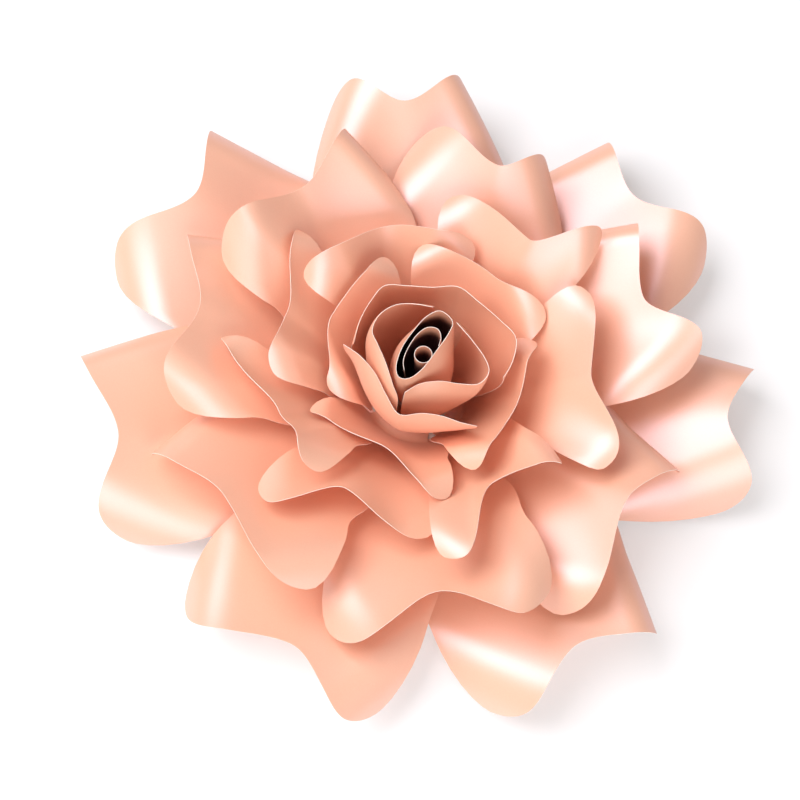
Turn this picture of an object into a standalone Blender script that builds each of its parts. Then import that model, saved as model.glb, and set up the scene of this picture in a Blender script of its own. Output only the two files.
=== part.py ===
"""Giant paper flower: pearl card petals in rings round a rolled bud, on a board disc.

Metres, +Z up. The origin is the middle of the disc's underside, where the flower rests.
Azimuths are in degrees, counted from +X towards +Y. A petal's counter side is the one
that lies further round counter-clockwise.
"""
from dataclasses import dataclass
from math import cos, pi, radians, sin, sqrt

import bmesh
import bpy
from mathutils import Vector

# Card and board
PAPER = 0.00035
GAP = 0.0003
DISC_THICKNESS = 0.003
DISC_MARGIN = 0.002
DISC_SIDES = 48
FOOT_LEVEL = DISC_THICKNESS + GAP + PAPER / 2

# Each ring's feet are glued flat on the disc, one ring outside the next
BUD_FOOT = 0.022
FEET_APART = 0.004
FOOT_LENGTH = 0.006
OUTER_FOOT_LENGTH = 0.022
FEET_CLEARANCE = 0.0012
FOOT_4 = BUD_FOOT + FEET_APART
FOOT_3 = FOOT_4 + FOOT_LENGTH + FEET_APART
FOOT_2 = FOOT_3 + FOOT_LENGTH + FEET_APART
FOOT_1 = FOOT_2 + FOOT_LENGTH + FEET_APART
DISC_RADIUS = FOOT_1 + OUTER_FOOT_LENGTH + DISC_MARGIN
HEEL_RADIUS = 0.008

# Grid cells of one petal, along and across
CELLS_ALONG = 7
CELLS_ACROSS = 10

# Cut outline of a petal: where it is widest along, and how quickly it widens
BELLY_AT = 0.66
BELLY_SWELL = 1.5

# A corner's roll fades in between these shares of the petal's length
CURL_FROM = 0.30
CURL_TO = 0.75

# A petal's side lies over or under its neighbour's by this share of the ring's lap. It
# leaves the shared bowl between these shares of half the way to the neighbour's middle,
# and by the near amount beside the foot
LAP_FROM = 0.0
LAP_TO = 0.85
LAP_NEAR = 0.0009
LAP_RAMP = 0.012
TOPMOST = 2.6
HIGH = 1.9
OVER = 1.0
NEAR = 0.6
LEVEL = -0.3
UNDER = -0.58
LOW = -1.1


@dataclass
class Corner:
    """An outer corner of a ring's petals: its cut past the tip, and the rod it rolls round."""
    shoulder: float
    cut: float
    start: float
    rod: float


@dataclass
class Ring:
    """One ring of petals: the cut sheet, and the bowl that it is bent to."""
    foot_radius: float
    foot_length: float
    heel_angle: float
    edge_angle: float
    length: float
    belly: float
    lap: float
    lift: float
    rounded: Corner
    pointed: Corner


@dataclass
class Side:
    """One side of a petal: its corner, how far round and out the tip is, its roll and lap."""
    corner: str
    spread: float
    reach: float
    turn: float
    lap: float


@dataclass
class Petal:
    """One petal of a ring, as seen in the photograph."""
    name: str
    azimuth: float
    middle: float
    counter: Side
    clockwise: Side


@dataclass
class Wrap:
    """A sheet wrapped round the bud: its rim, its middles, and how far out its belly is."""
    rim: list
    closed: bool
    middle: tuple
    foot_middle: tuple
    foot_radius: float
    belly_radius: float
    belly_height: float


RING_1 = Ring(foot_radius=FOOT_1, foot_length=OUTER_FOOT_LENGTH, heel_angle=17, edge_angle=15,
              length=0.175, belly=0.084, lap=0.009, lift=0.009,
              rounded=Corner(shoulder=0.034, cut=0.038, start=0.036, rod=0.040),
              pointed=Corner(shoulder=0.018, cut=0.014, start=0.028, rod=0.020))
RING_2 = Ring(foot_radius=FOOT_2, foot_length=FOOT_LENGTH, heel_angle=36, edge_angle=24,
              length=0.144, belly=0.070, lap=0.010, lift=0.010,
              rounded=Corner(shoulder=0.034, cut=0.036, start=0.026, rod=0.036),
              pointed=Corner(shoulder=0.014, cut=0.012, start=0.026, rod=0.018))
RING_3 = Ring(foot_radius=FOOT_3, foot_length=FOOT_LENGTH, heel_angle=60, edge_angle=34,
              length=0.114, belly=0.046, lap=0.009, lift=0.010,
              rounded=Corner(shoulder=0.021, cut=0.025, start=0.018, rod=0.030),
              pointed=Corner(shoulder=0.009, cut=0.010, start=0.020, rod=0.016))
RING_4 = Ring(foot_radius=FOOT_4, foot_length=FOOT_LENGTH, heel_angle=68, edge_angle=48,
              length=0.104, belly=0.050, lap=0.006, lift=0.008,
              rounded=Corner(shoulder=0.014, cut=0.018, start=0.020, rod=0.018),
              pointed=Corner(shoulder=0.008, cut=0.010, start=0.016, rod=0.013))

# The petals, as seen in the photograph, counter side first
PETALS_1 = [
    Petal("petal_1a", 92.4, 0.227,
          Side("rounded", 9.7, 0.250, 66, HIGH), Side("pointed", 10.2, 0.250, 62, OVER)),
    Petal("petal_1b", 41.3, 0.222,
          Side("pointed", 11.9, 0.243, 70, UNDER), Side("rounded", 12.8, 0.248, 50, OVER)),
    Petal("petal_1c", -8.1, 0.231,
          Side("pointed", 10.4, 0.248, 75, UNDER), Side("rounded", 10.1, 0.253, 68, UNDER)),
    Petal("petal_1d", -60.8, 0.232,
          Side("pointed", 12.2, 0.253, 75, OVER), Side("rounded", 12.4, 0.254, 54, UNDER)),
    Petal("petal_1e", -114.3, 0.222,
          Side("rounded", 12.9, 0.256, 60, OVER), Side("rounded", 17.1, 0.243, 66, OVER)),
    Petal("petal_1f", -168.6, 0.226,
          Side("rounded", 12.6, 0.250, 58, UNDER), Side("pointed", 15.3, 0.250, 75, OVER)),
    Petal("petal_1g", 139.8, 0.226,
          Side("rounded", 14.3, 0.252, 45, UNDER), Side("pointed", 12.2, 0.258, 73, LOW)),
]
PETALS_2 = [
    Petal("petal_2a", 122.2, 0.168,
          Side("rounded", 20.0, 0.183, 58, TOPMOST), Side("pointed", 16.1, 0.194, 74, OVER)),
    Petal("petal_2b", 69.0, 0.172,
          Side("rounded", 15.4, 0.191, 68, UNDER), Side("pointed", 8.6, 0.190, 54, UNDER)),
    Petal("petal_2c", 16.9, 0.176,
          Side("pointed", 17.2, 0.195, 73, OVER), Side("rounded", 11.7, 0.206, 60, OVER)),
    Petal("petal_2d", -34.7, 0.183,
          Side("pointed", 12.3, 0.196, 75, UNDER), Side("rounded", 20.8, 0.205, 68, UNDER)),
    Petal("petal_2e", -85.0, 0.173,
          Side("rounded", 16.2, 0.205, 52, HIGH), Side("rounded", 17.3, 0.203, 64, UNDER)),
    Petal("petal_2f", -144.6, 0.174,
          Side("rounded", 23.4, 0.195, 55, HIGH), Side("pointed", 17.1, 0.195, 76, UNDER)),
    Petal("petal_2g", 165.2, 0.170,
          Side("rounded", 17.5, 0.188, 58, HIGH), Side("pointed", 17.2, 0.196, 74, UNDER)),
]
PETALS_3 = [
    Petal("petal_3a", 103.4, 0.113,
          Side("rounded", 33.0, 0.118, 68, TOPMOST), Side("rounded", 30.0, 0.111, 58, HIGH)),
    Petal("petal_3b", 48.2, 0.126,
          Side("rounded", 26.4, 0.131, 66, UNDER), Side("pointed", 12.0, 0.158, 60, UNDER)),
    Petal("petal_3c", -5.7, 0.128,
          Side("rounded", 24.9, 0.134, 24, NEAR), Side("rounded", 21.8, 0.150, 24, UNDER)),
    Petal("petal_3d", -59.7, 0.111,
          Side("pointed", 20.5, 0.132, 76, HIGH), Side("rounded", 19.5, 0.153, 60, OVER)),
    Petal("petal_3e", -118.3, 0.115,
          Side("rounded", 25.0, 0.124, 50, UNDER), Side("rounded", 17.0, 0.144, 62, UNDER)),
    Petal("petal_3g", -158.9, 0.113,
          Side("rounded", 23.0, 0.126, 58, TOPMOST), Side("pointed", 29.0, 0.136, 76, UNDER)),
    Petal("petal_3f", 158.0, 0.109,
          Side("rounded", 19.1, 0.116, 45, HIGH), Side("pointed", 27.6, 0.131, 74, UNDER)),
]
PETALS_4 = [
    Petal("petal_4a", 150.2, 0.079,
          Side("rounded", 33.5, 0.068, 50, TOPMOST), Side("rounded", 40.0, 0.088, 50, TOPMOST)),
    Petal("petal_4b", 48.4, 0.089,
          Side("rounded", 36.0, 0.089, 45, OVER), Side("rounded", 22.0, 0.092, 28, UNDER)),
    Petal("petal_4c", -29.9, 0.084,
          Side("rounded", 36.0, 0.088, 58, HIGH), Side("rounded", 31.6, 0.094, 58, HIGH)),
    Petal("petal_4d", -115.0, 0.071,
          Side("rounded", 32.0, 0.096, 40, LEVEL), Side("pointed", 42.0, 0.077, 60, LEVEL)),
]

# Rims of the two cupped petals round the bud, and of the bud's own wraps: each point is
# metres from the origin, in the order that the card runs round the bud
RIM_5A = [(-0.047, 0.012, 0.086), (-0.042, 0.027, 0.096), (-0.033, 0.040, 0.105), (-0.024, 0.049, 0.107),
          (-0.008, 0.048, 0.109), (0.010, 0.046, 0.111), (0.028, 0.046, 0.112), (0.042, 0.036, 0.110),
          (0.058, 0.022, 0.108), (0.069, 0.010, 0.105), (0.067, -0.006, 0.102), (0.060, -0.018, 0.098)]
RIM_5B = [(-0.054, 0.008, 0.096), (-0.042, -0.003, 0.103), (-0.031, -0.017, 0.105), (-0.023, -0.033, 0.104),
          (-0.014, -0.047, 0.104), (0.002, -0.047, 0.106), (0.016, -0.049, 0.106), (0.029, -0.053, 0.104),
          (0.041, -0.054, 0.098)]
RIM_LEFT = [(0.010, 0.0285, 0.117), (-0.004, 0.031, 0.117), (-0.017, 0.030, 0.117), (-0.028, 0.023, 0.116),
            (-0.033, 0.012, 0.114), (-0.029, 0.002, 0.112), (-0.0235, -0.011, 0.111), (-0.0185, -0.026, 0.107),
            (-0.015, -0.034, 0.100), (-0.016, -0.041, 0.088)]
RIM_RIGHT = [(0.0265, 0.017, 0.117), (0.037, 0.004, 0.117), (0.046, -0.009, 0.116), (0.049, -0.019, 0.114),
             (0.042, -0.027, 0.112), (0.029, -0.0265, 0.110), (0.015, -0.0245, 0.110), (0.001, -0.026, 0.109),
             (-0.010, -0.0315, 0.106)]
RIM_CONE = [(0.0150, 0.0245, 0.120), (0.0235, 0.0170, 0.120), (0.0210, 0.0080, 0.120), (0.0125, -0.0045, 0.119),
            (0.0020, -0.0180, 0.117), (-0.0070, -0.0240, 0.115), (-0.0145, -0.0225, 0.114),
            (-0.0160, -0.0140, 0.115), (-0.0115, -0.0010, 0.117), (-0.0030, 0.0110, 0.119), (0.0050, 0.0200, 0.120)]
RIM_ROLL = [(0.0138, 0.0000, 0.115), (0.0155, 0.0065, 0.116), (0.0130, 0.0125, 0.116), (0.0060, 0.0135, 0.116),
            (-0.0010, 0.0085, 0.116), (-0.0075, -0.0010, 0.115), (-0.0110, -0.0100, 0.114),
            (-0.0105, -0.0170, 0.113)]
BUD_MIDDLE = (0.004, -0.002)
FOOT_MIDDLE = (0.0, 0.0)
WRAPS_APART = 0.0027
WRAP_CELLS_ROUND = 17
WRAP_CELLS_UP = 5

# Name, rim, whether it closes on itself, belly's radius and height, from outside inwards
WRAPS = [
    ("petal_5a", RIM_5A, False, 0.062, 0.066),
    ("petal_5b", RIM_5B, False, 0.060, 0.068),
    ("bud_wrap_left", RIM_LEFT, False, 0.056, 0.072),
    ("bud_wrap_right", RIM_RIGHT, False, 0.050, 0.072),
    ("bud_cone", RIM_CONE, True, 0.034, 0.070),
    ("bud_roll", RIM_ROLL, False, 0.018, 0.070),
]
TUBE_MIDDLE = (0.003, -0.006)
TUBE_RADIUS = 0.0062
TUBE_TOP = 0.114
TUBE_SIDES = 20
TUBE_FOOT = 0.0025
TUBE_BELLY = 0.006
TUBE_BELLY_HEIGHT = 0.070

CARD_COLOUR = (0.93, 0.56, 0.42, 1.0)
CARD_ROUGHNESS = 0.42
CARD_METALLIC = 0.08
BOARD_COLOUR = (0.80, 0.74, 0.66, 1.0)
BOARD_ROUGHNESS = 0.9


def clamp01(value):
    return min(1.0, max(0.0, value))


def smooth(value):
    value = clamp01(value)
    return value * value * (3 - 2 * value)


def half_width(ring, room, crown, along, total):
    """Half width of the cut sheet at a length from its foot: foot, belly, crown."""
    foot = (ring.foot_radius + min(along, ring.foot_length)) * room - FEET_CLEARANCE
    if along < ring.foot_length:
        return foot
    belly_along = BELLY_AT * total
    if along < belly_along:
        swell = sin(pi / 2 * (along - ring.foot_length) / (belly_along - ring.foot_length))
        return foot + (ring.belly - foot) * swell ** BELLY_SWELL
    past = (along - belly_along) / (total - belly_along)
    return ring.belly - (ring.belly - crown) * past * past


def edge_length(length, corner, corner_length, horn_share, across):
    """Length of the cut sheet from its foot to its outer edge, set in at the middle."""
    side = abs(across)
    if side < horn_share:
        return length + (corner_length - length) * smooth(side / horn_share)
    past = min(1.0, (side - horn_share) / (1 - horn_share))
    return corner_length - corner.cut * (1 - sqrt(1 - past * past))


def roll_back(corner, away, past, along, side):
    """Roll a point of the flat sheet back round a straight rod, for how far past it lies."""
    if past <= 0:
        return along, side, 0.0
    back = corner.rod * sin(past / corner.rod) - past
    drop = corner.rod * (1 - cos(past / corner.rod))
    return along + back * cos(away), side + back * sin(away), -drop


def bowl(ring, along):
    """Radius, height and slope of the ring's bowl at a length along the petal."""
    heel = radians(ring.heel_angle)
    edge = radians(ring.edge_angle)
    radius = ring.foot_radius + min(along, ring.foot_length)
    height = FOOT_LEVEL
    rest = along - ring.foot_length
    if rest <= 0:
        return radius, height, 0.0
    turned = min(rest / HEEL_RADIUS, heel)
    radius += HEEL_RADIUS * sin(turned)
    height += HEEL_RADIUS * (1 - cos(turned))
    rest -= HEEL_RADIUS * heel
    if rest <= 0:
        return radius, height, turned
    body = ring.length - ring.foot_length - HEEL_RADIUS * heel
    slope = heel + (edge - heel) * rest / body
    radius += rest * cos((heel + slope) / 2)
    height += rest * sin((heel + slope) / 2)
    return radius, height, slope


def petal_point(ring, petal, rooms, share, across):
    """Place one point of a petal: cut sheet, rolled corner, bowl, lap.

    The rooms are half the angles to the neighbours' middles, clockwise side first.
    """
    room = rooms[1] if across > 0 else rooms[0]
    side_of = petal.counter if across > 0 else petal.clockwise
    sign = 1 if across > 0 else -1
    corner = ring.rounded if side_of.corner == "rounded" else ring.pointed
    uphill = cos(radians(ring.edge_angle))
    usual_radius, _, _ = bowl(ring, ring.length)
    length = ring.length + (petal.middle - usual_radius) / uphill
    away = radians(side_of.turn)
    pulled = corner.start - corner.rod * sin(corner.start / corner.rod)
    corner_length = ring.length + (side_of.reach - usual_radius) / uphill + pulled * cos(away)
    corner_side = radians(side_of.spread) * side_of.reach + pulled * sin(away)
    crown = corner_side + corner.shoulder
    total = edge_length(length, corner, corner_length, corner_side / crown, across)
    along = share * total
    side = abs(across) * half_width(ring, room, crown, along, total)
    past = (along - corner_length) * cos(away) + (side - corner_side) * sin(away) + corner.start
    past *= smooth((share - CURL_FROM) / (CURL_TO - CURL_FROM))
    along, side, out = roll_back(corner, away, past, along, side)
    radius, height, slope = bowl(ring, along)
    angle = side / radius
    lap = smooth((angle / room - LAP_FROM) / (LAP_TO - LAP_FROM))
    past_foot = max(0.0, along - ring.foot_length)
    lap_out = LAP_NEAR * smooth(past_foot / LAP_RAMP) + ring.lap * past_foot / ring.length
    out += side_of.lap * lap * lap_out
    out += ring.lift * share ** 3 * (1 - smooth(abs(across)))
    radius -= out * sin(slope)
    height += out * cos(slope)
    turn = radians(petal.azimuth) + sign * angle
    return radius * cos(turn), radius * sin(turn), height


def card_material(name, colour, roughness, metallic):
    material = bpy.data.materials.new(name)
    material.use_nodes = True
    shader = material.node_tree.nodes["Principled BSDF"]
    shader.inputs["Base Color"].default_value = colour
    shader.inputs["Roughness"].default_value = roughness
    shader.inputs["Metallic"].default_value = metallic
    material.diffuse_color = colour
    return material


def new_piece(collection, name, sheet, colour, roughness, metallic):
    """Turn a worked bmesh into a named object with its own material."""
    bmesh.ops.recalc_face_normals(sheet, faces=sheet.faces)
    data = bpy.data.meshes.new(name)
    sheet.to_mesh(data)
    sheet.free()
    piece = bpy.data.objects.new(name, data)
    collection.objects.link(piece)
    data.materials.append(card_material(name, colour, roughness, metallic))
    return piece


def add_card(collection, name, sheet):
    """A sheet of card: shaded smooth and given its thickness."""
    piece = new_piece(collection, name, sheet, CARD_COLOUR, CARD_ROUGHNESS, CARD_METALLIC)
    for face in piece.data.polygons:
        face.use_smooth = True
    shell = piece.modifiers.new("card", "SOLIDIFY")
    shell.thickness = PAPER
    shell.offset = 0.0
    return piece


def rooms_of(petals, index):
    """Half the angle from a petal's middle to its neighbours', clockwise side first."""
    here = petals[index].azimuth
    turns = [(other.azimuth - here) % 360 for other in petals if other.azimuth != here]
    return radians(360 - max(turns)) / 2, radians(min(turns)) / 2


def add_petal(collection, ring, petal, rooms):
    sheet = bmesh.new()
    bmesh.ops.create_grid(sheet, x_segments=CELLS_ALONG, y_segments=CELLS_ACROSS, size=1.0)
    for corner in sheet.verts:
        share = (corner.co.x + 1) / 2
        corner.co = petal_point(ring, petal, rooms, share, corner.co.y)
    return add_card(collection, petal.name, sheet)


def along_rim(rim, closed, share):
    """Point on the smooth curve through the rim's points, at a share of the way round."""
    last = len(rim) if closed else len(rim) - 1
    place = share * last
    index = min(int(place), last - 1)
    step = place - index

    def knot(number):
        if closed:
            return Vector(rim[number % len(rim)])
        return Vector(rim[min(max(number, 0), last)])
    before, start, end, after = (knot(index + offset) for offset in (-1, 0, 1, 2))
    linear = (end - before) * 0.5
    square = before - start * 2.5 + end * 2 - after * 0.5
    cube = (start - end) * 1.5 + (after - before) * 0.5
    return start + linear * step + square * step ** 2 + cube * step ** 3


def wrap_point(wrap, share_round, share_up):
    """Point of a wrap: from its foot on the disc, out to its belly and in to its rim."""
    top = along_rim(wrap.rim, wrap.closed, share_round)
    middle = Vector((wrap.middle[0], wrap.middle[1], 0))
    outward = (top - middle)
    outward.z = 0
    outward.normalize()
    foot = Vector((wrap.foot_middle[0], wrap.foot_middle[1], 0)) + outward * wrap.foot_radius
    foot.z = DISC_THICKNESS + GAP
    belly = middle + outward * wrap.belly_radius
    belly.z = wrap.belly_height
    down = 1 - share_up
    return foot * down ** 2 + belly * 2 * down * share_up + top * share_up ** 2


def add_wrap(collection, name, wrap):
    sheet = bmesh.new()
    bmesh.ops.create_grid(sheet, x_segments=WRAP_CELLS_ROUND, y_segments=WRAP_CELLS_UP, size=1.0)
    for corner in sheet.verts:
        corner.co = wrap_point(wrap, (corner.co.x + 1) / 2, (corner.co.y + 1) / 2)
    if wrap.closed:
        bmesh.ops.remove_doubles(sheet, verts=sheet.verts, dist=1e-6)
    return add_card(collection, name, sheet)


def add_tube(collection):
    """The innermost roll, a slim tube."""
    wrap = Wrap(tube_rim(), True, TUBE_MIDDLE, TUBE_MIDDLE, TUBE_FOOT, TUBE_BELLY, TUBE_BELLY_HEIGHT)
    return add_wrap(collection, "bud_tube", wrap)


def tube_rim():
    turns = [2 * pi * side / TUBE_SIDES for side in range(TUBE_SIDES)]
    return [(TUBE_MIDDLE[0] + TUBE_RADIUS * cos(turn), TUBE_MIDDLE[1] + TUBE_RADIUS * sin(turn), TUBE_TOP)
            for turn in turns]


def add_disc(collection):
    """Board disc under the petals' feet."""
    sheet = bmesh.new()
    bmesh.ops.create_cone(sheet, cap_ends=True, segments=DISC_SIDES, radius1=DISC_RADIUS,
                          radius2=DISC_RADIUS, depth=DISC_THICKNESS)
    for corner in sheet.verts:
        corner.co.z += DISC_THICKNESS / 2
    return new_piece(collection, "backing_disc", sheet, BOARD_COLOUR, BOARD_ROUGHNESS, 0.0)


def clear_scene():
    for thing in list(bpy.data.objects):
        bpy.data.objects.remove(thing, do_unlink=True)


def main():
    clear_scene()
    flower = bpy.data.collections.new("giant_paper_flower")
    bpy.context.scene.collection.children.link(flower)
    add_disc(flower)
    for ring, petals in ((RING_1, PETALS_1), (RING_2, PETALS_2), (RING_3, PETALS_3),
                         (RING_4, PETALS_4)):
        for index, petal in enumerate(petals):
            add_petal(flower, ring, petal, rooms_of(petals, index))
    for index, (name, rim, closed, belly_radius, belly_height) in enumerate(WRAPS):
        foot_radius = BUD_FOOT - index * WRAPS_APART
        wrap = Wrap(rim, closed, BUD_MIDDLE, FOOT_MIDDLE, foot_radius, belly_radius, belly_height)
        add_wrap(flower, name, wrap)
    add_tube(flower)


main()
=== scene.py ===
"""Look of the giant paper flower, in the frame of its CAD model. Metres, +Z up."""

from dataclasses import dataclass
from math import atan2, cos, pi, radians, sin, sqrt

import bmesh
import bpy
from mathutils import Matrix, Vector


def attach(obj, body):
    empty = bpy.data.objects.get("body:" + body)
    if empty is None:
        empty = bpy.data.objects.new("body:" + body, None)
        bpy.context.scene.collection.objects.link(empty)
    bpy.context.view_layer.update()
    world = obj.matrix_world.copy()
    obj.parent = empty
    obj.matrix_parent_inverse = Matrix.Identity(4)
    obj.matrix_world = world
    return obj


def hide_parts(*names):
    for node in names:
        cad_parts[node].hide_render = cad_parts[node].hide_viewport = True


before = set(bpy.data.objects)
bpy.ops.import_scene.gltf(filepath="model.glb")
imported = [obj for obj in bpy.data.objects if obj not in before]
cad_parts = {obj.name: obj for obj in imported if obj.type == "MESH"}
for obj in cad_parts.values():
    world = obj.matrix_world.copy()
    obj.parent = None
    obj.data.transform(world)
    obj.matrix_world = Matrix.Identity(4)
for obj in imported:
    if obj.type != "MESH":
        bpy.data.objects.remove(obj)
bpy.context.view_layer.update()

# Card and board
PAPER = 0.00035
GAP = 0.0003
DISC_THICKNESS = 0.003
FOOT_LEVEL = DISC_THICKNESS + GAP + PAPER / 2

# Each ring's feet are glued flat on the disc, one ring outside the next
BUD_FOOT = 0.022
FEET_APART = 0.004
FOOT_LENGTH = 0.006
OUTER_FOOT_LENGTH = 0.022
FEET_CLEARANCE = 0.0012
FOOT_4 = BUD_FOOT + FEET_APART
FOOT_3 = FOOT_4 + FOOT_LENGTH + FEET_APART
FOOT_2 = FOOT_3 + FOOT_LENGTH + FEET_APART
FOOT_1 = FOOT_2 + FOOT_LENGTH + FEET_APART
HEEL_RADIUS = 0.008

# Grid cells of one petal, and of a wrap round the bud
CELLS_ALONG = 34
CELLS_ACROSS = 48
WRAP_CELLS_ROUND = 120
WRAP_CELLS_UP = 24

# The sheet's outer corners are rounded off over these shares of its length and half width
ROUND_ALONG = 0.16
ROUND_ACROSS = 0.12

# Cut outline of a petal: where it is widest along, and how quickly it widens
BELLY_AT = 0.66
BELLY_SWELL = 1.5

# A corner's roll fades in between these shares of the petal's length
CURL_FROM = 0.30
CURL_TO = 0.75

# A petal's side lies over or under its neighbour's by this share of the ring's lap. It
# leaves the shared bowl between these shares of half the way to the neighbour's middle,
# and by the near amount beside the foot
LAP_FROM = 0.0
LAP_TO = 0.85
LAP_NEAR = 0.0009
LAP_RAMP = 0.012
TOPMOST = 2.6
HIGH = 1.9
OVER = 1.0
NEAR = 0.6
LEVEL = -0.3
UNDER = -0.58
LOW = -1.1


@dataclass
class Corner:
    """An outer corner of a ring's petals: its cut past the tip, and the rod it rolls round."""
    shoulder: float
    cut: float
    start: float
    rod: float


@dataclass
class Ring:
    """One ring of petals: the cut sheet, and the bowl that it is bent to."""
    foot_radius: float
    foot_length: float
    heel_angle: float
    edge_angle: float
    length: float
    belly: float
    lap: float
    lift: float
    rounded: Corner
    pointed: Corner


@dataclass
class Side:
    """One side of a petal: its corner, how far round and out the tip is, its roll and lap."""
    corner: str
    spread: float
    reach: float
    turn: float
    lap: float


@dataclass
class Petal:
    """One petal of a ring, as seen in the photograph."""
    name: str
    azimuth: float
    middle: float
    counter: Side
    clockwise: Side


@dataclass
class Wrap:
    """A sheet wrapped round the bud: its rim, its middles, and how far out its belly is."""
    rim: list
    closed: bool
    middle: tuple
    foot_middle: tuple
    foot_radius: float
    belly_radius: float
    belly_height: float


RING_1 = Ring(foot_radius=FOOT_1, foot_length=OUTER_FOOT_LENGTH, heel_angle=17, edge_angle=15,
              length=0.175, belly=0.084, lap=0.009, lift=0.009,
              rounded=Corner(shoulder=0.034, cut=0.038, start=0.036, rod=0.040),
              pointed=Corner(shoulder=0.018, cut=0.014, start=0.028, rod=0.020))
RING_2 = Ring(foot_radius=FOOT_2, foot_length=FOOT_LENGTH, heel_angle=36, edge_angle=24,
              length=0.144, belly=0.070, lap=0.010, lift=0.010,
              rounded=Corner(shoulder=0.034, cut=0.036, start=0.026, rod=0.036),
              pointed=Corner(shoulder=0.014, cut=0.012, start=0.026, rod=0.018))
RING_3 = Ring(foot_radius=FOOT_3, foot_length=FOOT_LENGTH, heel_angle=60, edge_angle=34,
              length=0.114, belly=0.046, lap=0.009, lift=0.010,
              rounded=Corner(shoulder=0.021, cut=0.025, start=0.018, rod=0.030),
              pointed=Corner(shoulder=0.009, cut=0.010, start=0.020, rod=0.016))
RING_4 = Ring(foot_radius=FOOT_4, foot_length=FOOT_LENGTH, heel_angle=68, edge_angle=48,
              length=0.104, belly=0.050, lap=0.006, lift=0.008,
              rounded=Corner(shoulder=0.014, cut=0.018, start=0.020, rod=0.018),
              pointed=Corner(shoulder=0.008, cut=0.010, start=0.016, rod=0.013))

# The petals, as seen in the photograph, counter side first
PETALS_1 = [
    Petal("petal_1a", 92.4, 0.227,
          Side("rounded", 9.7, 0.250, 66, HIGH), Side("pointed", 10.2, 0.250, 62, OVER)),
    Petal("petal_1b", 41.3, 0.222,
          Side("pointed", 11.9, 0.243, 70, UNDER), Side("rounded", 12.8, 0.248, 50, OVER)),
    Petal("petal_1c", -8.1, 0.231,
          Side("pointed", 10.4, 0.248, 75, UNDER), Side("rounded", 10.1, 0.253, 68, UNDER)),
    Petal("petal_1d", -60.8, 0.232,
          Side("pointed", 12.2, 0.253, 75, OVER), Side("rounded", 12.4, 0.254, 54, UNDER)),
    Petal("petal_1e", -114.3, 0.222,
          Side("rounded", 12.9, 0.256, 60, OVER), Side("rounded", 17.1, 0.243, 66, OVER)),
    Petal("petal_1f", -168.6, 0.226,
          Side("rounded", 12.6, 0.250, 58, UNDER), Side("pointed", 15.3, 0.250, 75, OVER)),
    Petal("petal_1g", 139.8, 0.226,
          Side("rounded", 14.3, 0.252, 45, UNDER), Side("pointed", 12.2, 0.258, 73, LOW)),
]
PETALS_2 = [
    Petal("petal_2a", 122.2, 0.168,
          Side("rounded", 20.0, 0.183, 58, TOPMOST), Side("pointed", 16.1, 0.194, 74, OVER)),
    Petal("petal_2b", 69.0, 0.172,
          Side("rounded", 15.4, 0.191, 68, UNDER), Side("pointed", 8.6, 0.190, 54, UNDER)),
    Petal("petal_2c", 16.9, 0.176,
          Side("pointed", 17.2, 0.195, 73, OVER), Side("rounded", 11.7, 0.206, 60, OVER)),
    Petal("petal_2d", -34.7, 0.183,
          Side("pointed", 12.3, 0.196, 75, UNDER), Side("rounded", 20.8, 0.205, 68, UNDER)),
    Petal("petal_2e", -85.0, 0.173,
          Side("rounded", 16.2, 0.205, 52, HIGH), Side("rounded", 17.3, 0.203, 64, UNDER)),
    Petal("petal_2f", -144.6, 0.174,
          Side("rounded", 23.4, 0.195, 55, HIGH), Side("pointed", 17.1, 0.195, 76, UNDER)),
    Petal("petal_2g", 165.2, 0.170,
          Side("rounded", 17.5, 0.188, 58, HIGH), Side("pointed", 17.2, 0.196, 74, UNDER)),
]
PETALS_3 = [
    Petal("petal_3a", 103.4, 0.113,
          Side("rounded", 33.0, 0.118, 68, TOPMOST), Side("rounded", 30.0, 0.111, 58, HIGH)),
    Petal("petal_3b", 48.2, 0.126,
          Side("rounded", 26.4, 0.131, 66, UNDER), Side("pointed", 12.0, 0.158, 60, UNDER)),
    Petal("petal_3c", -5.7, 0.128,
          Side("rounded", 24.9, 0.134, 24, NEAR), Side("rounded", 21.8, 0.150, 24, UNDER)),
    Petal("petal_3d", -59.7, 0.111,
          Side("pointed", 20.5, 0.132, 76, HIGH), Side("rounded", 19.5, 0.153, 60, OVER)),
    Petal("petal_3e", -118.3, 0.115,
          Side("rounded", 25.0, 0.124, 50, UNDER), Side("rounded", 17.0, 0.144, 62, UNDER)),
    Petal("petal_3g", -158.9, 0.113,
          Side("rounded", 23.0, 0.126, 58, TOPMOST), Side("pointed", 29.0, 0.136, 76, UNDER)),
    Petal("petal_3f", 158.0, 0.109,
          Side("rounded", 19.1, 0.116, 45, HIGH), Side("pointed", 27.6, 0.131, 74, UNDER)),
]
PETALS_4 = [
    Petal("petal_4a", 150.2, 0.079,
          Side("rounded", 33.5, 0.068, 50, TOPMOST), Side("rounded", 40.0, 0.088, 50, TOPMOST)),
    Petal("petal_4b", 48.4, 0.089,
          Side("rounded", 36.0, 0.089, 45, OVER), Side("rounded", 22.0, 0.092, 28, UNDER)),
    Petal("petal_4c", -29.9, 0.084,
          Side("rounded", 36.0, 0.088, 58, HIGH), Side("rounded", 31.6, 0.094, 58, HIGH)),
    Petal("petal_4d", -115.0, 0.071,
          Side("rounded", 32.0, 0.096, 40, LEVEL), Side("pointed", 42.0, 0.077, 60, LEVEL)),
]

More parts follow.
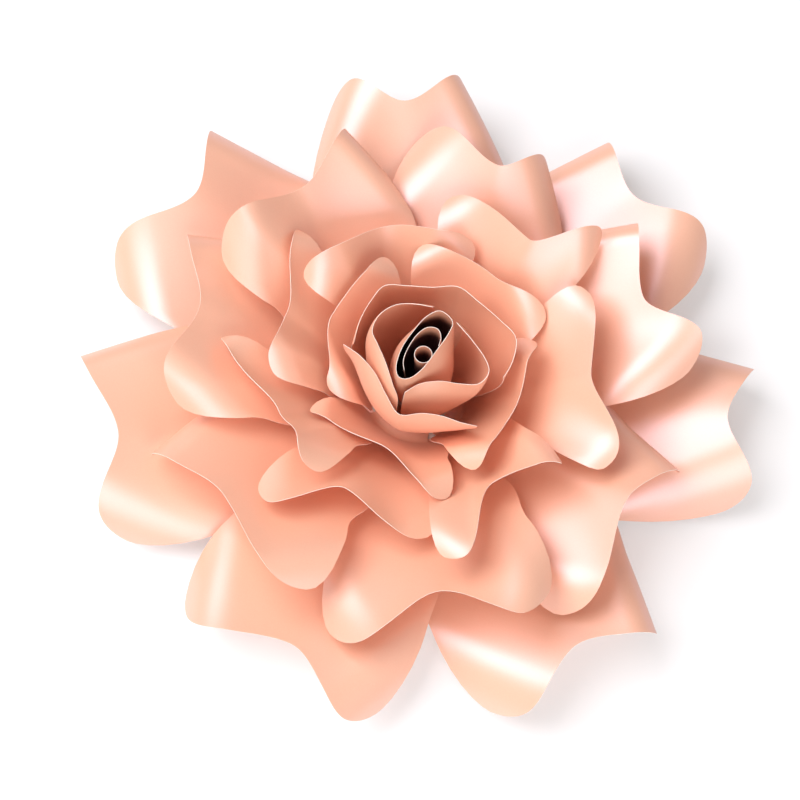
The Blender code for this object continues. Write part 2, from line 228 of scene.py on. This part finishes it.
# Rims of the two cupped petals round the bud, and of the bud's own wraps: each point is
# metres from the origin, in the order that the card runs round the bud
RIM_5A = [(-0.047, 0.012, 0.086), (-0.042, 0.027, 0.096), (-0.033, 0.040, 0.105),
          (-0.024, 0.049, 0.107), (-0.008, 0.048, 0.109), (0.010, 0.046, 0.111),
          (0.028, 0.046, 0.112), (0.042, 0.036, 0.110), (0.058, 0.022, 0.108),
          (0.069, 0.010, 0.105), (0.067, -0.006, 0.102), (0.060, -0.018, 0.098)]
RIM_5B = [(-0.054, 0.008, 0.096), (-0.042, -0.003, 0.103), (-0.031, -0.017, 0.105),
          (-0.023, -0.033, 0.104), (-0.014, -0.047, 0.104), (0.002, -0.047, 0.106),
          (0.016, -0.049, 0.106), (0.029, -0.053, 0.104), (0.041, -0.054, 0.098)]
RIM_LEFT = [(0.010, 0.0285, 0.117), (-0.004, 0.031, 0.117), (-0.017, 0.030, 0.117),
            (-0.028, 0.023, 0.116), (-0.033, 0.012, 0.114), (-0.029, 0.002, 0.112),
            (-0.0235, -0.011, 0.111), (-0.0185, -0.026, 0.107), (-0.015, -0.034, 0.100),
            (-0.016, -0.041, 0.088)]
RIM_RIGHT = [(0.0265, 0.017, 0.117), (0.037, 0.004, 0.117), (0.046, -0.009, 0.116),
             (0.049, -0.019, 0.114), (0.042, -0.027, 0.112), (0.029, -0.0265, 0.110),
             (0.015, -0.0245, 0.110), (0.001, -0.026, 0.109), (-0.010, -0.0315, 0.106)]
RIM_CONE = [(0.0150, 0.0245, 0.120), (0.0235, 0.0170, 0.120), (0.0210, 0.0080, 0.120),
            (0.0125, -0.0045, 0.119), (0.0020, -0.0180, 0.117), (-0.0070, -0.0240, 0.115),
            (-0.0145, -0.0225, 0.114), (-0.0160, -0.0140, 0.115), (-0.0115, -0.0010, 0.117),
            (-0.0030, 0.0110, 0.119), (0.0050, 0.0200, 0.120)]
RIM_ROLL = [(0.0138, 0.0000, 0.115), (0.0155, 0.0065, 0.116), (0.0130, 0.0125, 0.116),
            (0.0060, 0.0135, 0.116), (-0.0010, 0.0085, 0.116), (-0.0075, -0.0010, 0.115),
            (-0.0110, -0.0100, 0.114), (-0.0105, -0.0170, 0.113)]
BUD_MIDDLE = (0.004, -0.002)
FOOT_MIDDLE = (0.0, 0.0)
WRAPS_APART = 0.0027

# Name, rim, whether it closes on itself, belly's radius and height, from outside inwards
WRAPS = [
    ("petal_5a", RIM_5A, False, 0.062, 0.066),
    ("petal_5b", RIM_5B, False, 0.060, 0.068),
    ("bud_wrap_left", RIM_LEFT, False, 0.056, 0.072),
    ("bud_wrap_right", RIM_RIGHT, False, 0.050, 0.072),
    ("bud_cone", RIM_CONE, True, 0.034, 0.070),
    ("bud_roll", RIM_ROLL, False, 0.018, 0.070),
]
TUBE_MIDDLE = (0.003, -0.006)
TUBE_RADIUS = 0.0062
TUBE_TOP = 0.114
TUBE_SIDES = 20
TUBE_FOOT = 0.0025
TUBE_BELLY = 0.006
TUBE_BELLY_HEIGHT = 0.070

# Camera, as the photograph was taken
CAMERA_ELEVATION = 72.0
CAMERA_DISTANCE = 1.30
CAMERA_AIM = (-0.0134, -0.0141, 0.035)
CAMERA_WIDTH_SEEN = 0.597

# Floor, and the share of plain white that the camera sees mixed into it
FLOOR_SIZE = 6.0
FLOOR_COLOUR = (0.93, 0.93, 0.93, 1.0)
FLOOR_ROUGHNESS = 0.9
FLOOR_LIFT = 0.25
FLOOR_LIFT_STRENGTH = 1.15

# Lamps: place, width, power, colour
KEY_LAMP = ((-0.82, 0.28, 1.42), 1.3, 28.0, (1.0, 0.97, 1.0))
FILL_LAMP = ((0.2, -1.35, 0.95), 1.2, 16.0, (1.0, 0.98, 0.99))
LAMPS_AIM = (0.0, 0.0, 0.05)
SKY_COLOUR = (1.0, 1.0, 1.0, 1.0)
SKY_STRENGTH = 0.33

# Pearl card, with the mottle's two tints
CARD_LIGHT = (0.95, 0.54, 0.36, 1.0)
CARD_DARK = (0.92, 0.47, 0.29, 1.0)
CARD_ROUGHNESS = 0.42
CARD_IOR = 2.55
PEARL_TINT = (1.0, 0.83, 1.0, 1.0)
GRAIN_SCALE = 900.0
GRAIN_DETAIL = 3.0
GRAIN_BUMP = 0.05
GRAIN_DEPTH = 0.0001

# Painted shade inside the bud: the card's colour is darkened towards this colour with depth, between
# these heights
PAINTED_SHADE_COLOUR = (0.10, 0.03, 0.02, 1.0)
PAINTED_SHADE_FROM = 0.112
PAINTED_SHADE_TO = 0.096
PAINTED_SHADE_WRAPS = ("bud_cone", "bud_roll")

# Cut edges, and the angle past which an edge of the sheet stays crisp
EDGE_COLOUR = (0.98, 0.86, 0.76, 1.0)
EDGE_PALE = (1.0, 0.93, 0.86, 1.0)
EDGE_ROUGHNESS = 0.8
EDGE_GRAIN_SCALE = 2000.0
CUT_EDGE_ANGLE = radians(60)

# Backing board
BOARD_COLOUR = (0.80, 0.74, 0.66, 1.0)
BOARD_DARK = (0.72, 0.65, 0.56, 1.0)
BOARD_ROUGHNESS = 0.9
BOARD_GRAIN_SCALE = 400.0

# Places in a sheet's row of materials, which starts with the outer face's at 0
EDGE_LOOK = 1
INNER_LOOK = 2

# Points of a closed wrap that are nearer than this are joined
WELD_DISTANCE = 1e-6


def clamp01(value):
    """The value, held between 0 and 1."""
    return min(1.0, max(0.0, value))


def smooth(value):
    """Smooth step from 0 to 1."""
    value = clamp01(value)
    return value * value * (3 - 2 * value)


def half_width(ring, room, crown, along, total):
    """Half width of the cut sheet at a length from its foot: foot, belly, crown."""
    foot = (ring.foot_radius + min(along, ring.foot_length)) * room - FEET_CLEARANCE
    if along < ring.foot_length:
        return foot
    belly_along = BELLY_AT * total
    if along < belly_along:
        swell = sin(pi / 2 * (along - ring.foot_length) / (belly_along - ring.foot_length))
        return foot + (ring.belly - foot) * swell ** BELLY_SWELL
    past = (along - belly_along) / (total - belly_along)
    return ring.belly - (ring.belly - crown) * past * past


def edge_length(length, corner, corner_length, horn_share, across):
    """Length of the cut sheet from its foot to its outer edge, set in at the middle."""
    side = abs(across)
    if side < horn_share:
        return length + (corner_length - length) * smooth(side / horn_share)
    past = min(1.0, (side - horn_share) / (1 - horn_share))
    return corner_length - corner.cut * (1 - sqrt(1 - past * past))


def roll_back(corner, away, past, along, side):
    """Roll a point of the flat sheet back round a straight rod, for how far past it lies."""
    if past <= 0:
        return along, side, 0.0
    back = corner.rod * sin(past / corner.rod) - past
    drop = corner.rod * (1 - cos(past / corner.rod))
    return along + back * cos(away), side + back * sin(away), -drop


def bowl(ring, along):
    """Radius, height and slope of the ring's bowl at a length along the petal."""
    heel = radians(ring.heel_angle)
    edge = radians(ring.edge_angle)
    radius = ring.foot_radius + min(along, ring.foot_length)
    height = FOOT_LEVEL
    rest = along - ring.foot_length
    if rest <= 0:
        return radius, height, 0.0
    turned = min(rest / HEEL_RADIUS, heel)
    radius += HEEL_RADIUS * sin(turned)
    height += HEEL_RADIUS * (1 - cos(turned))
    rest -= HEEL_RADIUS * heel
    if rest <= 0:
        return radius, height, turned
    body = ring.length - ring.foot_length - HEEL_RADIUS * heel
    slope = heel + (edge - heel) * rest / body
    radius += rest * cos((heel + slope) / 2)
    height += rest * sin((heel + slope) / 2)
    return radius, height, slope


def petal_point(ring, petal, rooms, share, across):
    """Place one point of a petal: cut sheet, rolled corner, bowl, lap.

    The rooms are half the angles to the neighbours' middles, clockwise side first.
    """
    room = rooms[1] if across > 0 else rooms[0]
    side_of = petal.counter if across > 0 else petal.clockwise
    sign = 1 if across > 0 else -1
    corner = ring.rounded if side_of.corner == "rounded" else ring.pointed
    uphill = cos(radians(ring.edge_angle))
    usual_radius, _, _ = bowl(ring, ring.length)
    length = ring.length + (petal.middle - usual_radius) / uphill
    away = radians(side_of.turn)
    pulled = corner.start - corner.rod * sin(corner.start / corner.rod)
    corner_length = ring.length + (side_of.reach - usual_radius) / uphill + pulled * cos(away)
    corner_side = radians(side_of.spread) * side_of.reach + pulled * sin(away)
    crown = corner_side + corner.shoulder
    total = edge_length(length, corner, corner_length, corner_side / crown, across)
    along = share * total
    side = abs(across) * half_width(ring, room, crown, along, total)
    past = (along - corner_length) * cos(away) + (side - corner_side) * sin(away) + corner.start
    past *= smooth((share - CURL_FROM) / (CURL_TO - CURL_FROM))
    along, side, out = roll_back(corner, away, past, along, side)
    radius, height, slope = bowl(ring, along)
    angle = side / radius
    lap = smooth((angle / room - LAP_FROM) / (LAP_TO - LAP_FROM))
    past_foot = max(0.0, along - ring.foot_length)
    lap_out = LAP_NEAR * smooth(past_foot / LAP_RAMP) + ring.lap * past_foot / ring.length
    out += side_of.lap * lap * lap_out
    out += ring.lift * share ** 3 * (1 - smooth(abs(across)))
    radius -= out * sin(slope)
    height += out * cos(slope)
    turn = radians(petal.azimuth) + sign * angle
    return radius * cos(turn), radius * sin(turn), height


def rooms_of(petals, index):
    """Half the angle from a petal's middle to its neighbours', clockwise side first."""
    here = petals[index].azimuth
    turns = [(other.azimuth - here) % 360 for other in petals if other.azimuth != here]
    return radians(360 - max(turns)) / 2, radians(min(turns)) / 2


def along_rim(rim, closed, share):
    """Point on the smooth curve through the rim's points, at a share of the way round."""
    last = len(rim) if closed else len(rim) - 1
    place = share * last
    index = min(int(place), last - 1)
    step = place - index

    def knot(number):
        if closed:
            return Vector(rim[number % len(rim)])
        return Vector(rim[min(max(number, 0), last)])

    before, start, end, after = (knot(index + offset) for offset in (-1, 0, 1, 2))
    linear = (end - before) * 0.5
    square = before - start * 2.5 + end * 2 - after * 0.5
    cube = (start - end) * 1.5 + (after - before) * 0.5
    return start + linear * step + square * step ** 2 + cube * step ** 3


def wrap_point(wrap, share_round, share_up):
    """Point of a wrap: from its foot on the disc, out to its belly and in to its rim."""
    top = along_rim(wrap.rim, wrap.closed, share_round)
    middle = Vector((wrap.middle[0], wrap.middle[1], 0))
    outward = top - middle
    outward.z = 0
    outward.normalize()
    foot = Vector((wrap.foot_middle[0], wrap.foot_middle[1], 0)) + outward * wrap.foot_radius
    foot.z = DISC_THICKNESS + GAP
    belly = middle + outward * wrap.belly_radius
    belly.z = wrap.belly_height
    down = 1 - share_up
    return foot * down ** 2 + belly * 2 * down * share_up + top * share_up ** 2


def tube_rim():
    """Rim of the slim tube, as the points of a level circle."""
    turns = [2 * pi * side / TUBE_SIDES for side in range(TUBE_SIDES)]
    across, along = TUBE_MIDDLE
    return [(across + TUBE_RADIUS * cos(turn), along + TUBE_RADIUS * sin(turn), TUBE_TOP)
            for turn in turns]


def speckled(material, scale, colour_a, colour_b):
    """Mix two colours by a fine noise for the base colour; returns the noise and the mix."""
    tree = material.node_tree
    place = tree.nodes.new("ShaderNodeTexCoord")
    grain = tree.nodes.new("ShaderNodeTexNoise")
    grain.inputs["Scale"].default_value = scale
    grain.inputs["Detail"].default_value = GRAIN_DETAIL
    tree.links.new(place.outputs["Object"], grain.inputs["Vector"])
    tint = tree.nodes.new("ShaderNodeMixRGB")
    tint.inputs["Color1"].default_value = colour_a
    tint.inputs["Color2"].default_value = colour_b
    tree.links.new(grain.outputs["Fac"], tint.inputs["Fac"])
    tree.links.new(tint.outputs["Color"], tree.nodes["Principled BSDF"].inputs["Base Color"])
    return grain, tint


def card_material(name):
    """Pearl card: a fine mottle under a lilac sheen; returns it and its colour's mix."""
    material = bpy.data.materials.new(name)
    material.use_nodes = True
    tree = material.node_tree
    shader = tree.nodes["Principled BSDF"]
    shader.inputs["Roughness"].default_value = CARD_ROUGHNESS
    shader.inputs["IOR"].default_value = CARD_IOR
    shader.inputs["Specular Tint"].default_value = PEARL_TINT
    grain, tint = speckled(material, GRAIN_SCALE, CARD_DARK, CARD_LIGHT)
    bump = tree.nodes.new("ShaderNodeBump")
    bump.inputs["Strength"].default_value = GRAIN_BUMP
    bump.inputs["Distance"].default_value = GRAIN_DEPTH
    tree.links.new(grain.outputs["Fac"], bump.inputs["Height"])
    tree.links.new(bump.outputs["Normal"], shader.inputs["Normal"])
    return material, tint


def painted_shade_material():
    """Pearl card inside the bud, with shade painted into its colour: darker the deeper it lies."""
    material, tint = card_material("card_inside_bud_painted_shade")
    tree = material.node_tree
    place = tree.nodes.new("ShaderNodeTexCoord")
    split = tree.nodes.new("ShaderNodeSeparateXYZ")
    tree.links.new(place.outputs["Object"], split.inputs["Vector"])
    # Painted shade: below these heights the card's colour fades to the painted shade colour
    depth = tree.nodes.new("ShaderNodeMapRange")
    depth.interpolation_type = "SMOOTHSTEP"
    depth.inputs["From Min"].default_value = PAINTED_SHADE_TO
    depth.inputs["From Max"].default_value = PAINTED_SHADE_FROM
    tree.links.new(split.outputs["Z"], depth.inputs["Value"])
    shade = tree.nodes.new("ShaderNodeMixRGB")
    shade.inputs["Color1"].default_value = PAINTED_SHADE_COLOUR
    tree.links.new(depth.outputs["Result"], shade.inputs["Fac"])
    tree.links.new(tint.outputs["Color"], shade.inputs["Color2"])
    tree.links.new(shade.outputs["Color"], tree.nodes["Principled BSDF"].inputs["Base Color"])
    return material


def edge_material():
    """Pale fibres of the card, bare at its cut edges."""
    material = bpy.data.materials.new("card_cut_edge")
    material.use_nodes = True
    material.node_tree.nodes["Principled BSDF"].inputs["Roughness"].default_value = EDGE_ROUGHNESS
    speckled(material, EDGE_GRAIN_SCALE, EDGE_COLOUR, EDGE_PALE)
    return material


def board_material():
    """Plain matt board of the backing disc."""
    material = bpy.data.materials.new("plain_board")
    material.use_nodes = True
    material.node_tree.nodes["Principled BSDF"].inputs["Roughness"].default_value = BOARD_ROUGHNESS
    speckled(material, BOARD_GRAIN_SCALE, BOARD_COLOUR, BOARD_DARK)
    return material


def sheet_piece(name, sheet, looks):
    """A fine sheet that stands for the CAD node of the same name.

    The looks are the outer face's material, the cut edge's and the inner face's.
    """
    bmesh.ops.recalc_face_normals(sheet, faces=sheet.faces)
    data = bpy.data.meshes.new("look_" + name)
    sheet.to_mesh(data)
    sheet.free()
    piece = bpy.data.objects.new("look_" + name, data)
    bpy.context.scene.collection.objects.link(piece)
    for look in looks:
        data.materials.append(look)
    for face in data.polygons:
        face.use_smooth = True
    shell = piece.modifiers.new("card", "SOLIDIFY")
    shell.thickness = PAPER
    shell.offset = 0.0
    shell.material_offset_rim = EDGE_LOOK
    shell.material_offset = INNER_LOOK
    crisp = piece.modifiers.new("cut_edges", "EDGE_SPLIT")
    crisp.split_angle = CUT_EDGE_ANGLE
    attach(piece, "root")
    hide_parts(name)


def rounded_off(share, across):
    """Round off the sheet's two outer corners, as the scissors leave them."""
    if share <= 1 - ROUND_ALONG:
        return share, across
    turn = pi / 2 * (share - 1 + ROUND_ALONG) / ROUND_ALONG
    return 1 - ROUND_ALONG * (1 - sin(turn)), across * (1 - ROUND_ACROSS * (1 - cos(turn)))


def dress_petal(ring, petal, rooms, looks):
    """A ring petal, as a fine grid of its cut sheet."""
    sheet = bmesh.new()
    bmesh.ops.create_grid(sheet, x_segments=CELLS_ALONG, y_segments=CELLS_ACROSS, size=1.0)
    for point in sheet.verts:
        share, across = rounded_off((point.co.x + 1) / 2, point.co.y)
        point.co = petal_point(ring, petal, rooms, share, across)
    sheet_piece(petal.name, sheet, looks)


def dress_wrap(name, wrap, looks):
    """A wrap of the bud, as a fine grid from its foot to its rim."""
    sheet = bmesh.new()
    bmesh.ops.create_grid(sheet, x_segments=WRAP_CELLS_ROUND, y_segments=WRAP_CELLS_UP, size=1.0)
    for point in sheet.verts:
        point.co = wrap_point(wrap, (point.co.x + 1) / 2, (point.co.y + 1) / 2)
    if wrap.closed:
        bmesh.ops.remove_doubles(sheet, verts=sheet.verts, dist=WELD_DISTANCE)
    sheet_piece(name, sheet, looks)


def floor_material():
    """White floor; to the camera alone it is a little lighter, with the shadows kept."""
    material = bpy.data.materials.new("floor_white")
    material.use_nodes = True
    tree = material.node_tree
    shader = tree.nodes["Principled BSDF"]
    shader.inputs["Base Color"].default_value = FLOOR_COLOUR
    shader.inputs["Roughness"].default_value = FLOOR_ROUGHNESS
    lift = tree.nodes.new("ShaderNodeEmission")
    lift.inputs["Strength"].default_value = FLOOR_LIFT_STRENGTH
    seen = tree.nodes.new("ShaderNodeLightPath")
    share = tree.nodes.new("ShaderNodeMath")
    share.operation = "MULTIPLY"
    share.inputs[1].default_value = FLOOR_LIFT
    tree.links.new(seen.outputs["Is Camera Ray"], share.inputs[0])
    blend = tree.nodes.new("ShaderNodeMixShader")
    tree.links.new(share.outputs["Value"], blend.inputs["Fac"])
    tree.links.new(shader.outputs["BSDF"], blend.inputs[1])
    tree.links.new(lift.outputs["Emission"], blend.inputs[2])
    tree.links.new(blend.outputs["Shader"], tree.nodes["Material Output"].inputs["Surface"])
    return material


def add_floor():
    """Wide plain floor that the flower lies on."""
    bpy.ops.mesh.primitive_plane_add(size=FLOOR_SIZE)
    floor = bpy.context.object
    floor.name = "floor"
    floor.data.materials.append(floor_material())


def add_lamp(name, place, size, power, colour):
    """Square soft lamp, aimed at the flower."""
    lamp = bpy.data.lights.new(name, "AREA")
    lamp.size = size
    lamp.energy = power
    lamp.color = colour
    holder = bpy.data.objects.new(name, lamp)
    holder.location = place
    holder.rotation_euler = (Vector(LAMPS_AIM) - Vector(place)).to_track_quat("-Z", "Y").to_euler()
    bpy.context.scene.collection.objects.link(holder)


def add_world():
    """Even pale light from all round."""
    world = bpy.data.worlds.new("studio")
    world.use_nodes = True
    background = world.node_tree.nodes["Background"]
    background.inputs["Color"].default_value = SKY_COLOUR
    background.inputs["Strength"].default_value = SKY_STRENGTH
    bpy.context.scene.world = world


def add_camera():
    """Camera at the photograph's viewing angle, framed as it is."""
    lens = bpy.data.cameras.new("camera")
    lens.angle = 2 * atan2(CAMERA_WIDTH_SEEN / 2, CAMERA_DISTANCE)
    holder = bpy.data.objects.new("camera", lens)
    up = radians(CAMERA_ELEVATION)
    aim = Vector(CAMERA_AIM)
    holder.location = aim + CAMERA_DISTANCE * Vector((0, -cos(up), sin(up)))
    holder.rotation_euler = (aim - holder.location).to_track_quat("-Z", "Y").to_euler()
    bpy.context.scene.collection.objects.link(holder)
    bpy.context.scene.camera = holder


def main():
    card, _ = card_material("pearl_card_look")
    painted_shade_card = painted_shade_material()
    edge = edge_material()
    for ring, petals in ((RING_1, PETALS_1), (RING_2, PETALS_2), (RING_3, PETALS_3),
                         (RING_4, PETALS_4)):
        for index, petal in enumerate(petals):
            dress_petal(ring, petal, rooms_of(petals, index), (card, edge, card))
    for index, (name, rim, closed, belly_radius, belly_height) in enumerate(WRAPS):
        foot_radius = BUD_FOOT - index * WRAPS_APART
        wrap = Wrap(rim, closed, BUD_MIDDLE, FOOT_MIDDLE, foot_radius, belly_radius, belly_height)
        # The cone's and roll's insides, the roll's outside and the whole tube get the card with
        # painted shade
        inside = painted_shade_card if name in PAINTED_SHADE_WRAPS else card
        outside = painted_shade_card if name == "bud_roll" else card
        dress_wrap(name, wrap, (outside, edge, inside))
    tube = Wrap(tube_rim(), True, TUBE_MIDDLE, TUBE_MIDDLE, TUBE_FOOT, TUBE_BELLY, TUBE_BELLY_HEIGHT)
    dress_wrap("bud_tube", tube, (painted_shade_card, edge, painted_shade_card))
    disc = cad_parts["backing_disc"]
    disc.data.materials.clear()
    disc.data.materials.append(board_material())
    add_floor()
    add_lamp("key", *KEY_LAMP)
    add_lamp("fill", *FILL_LAMP)
    add_world()
    add_camera()
    bpy.context.scene.view_settings.view_transform = "Standard"


main()
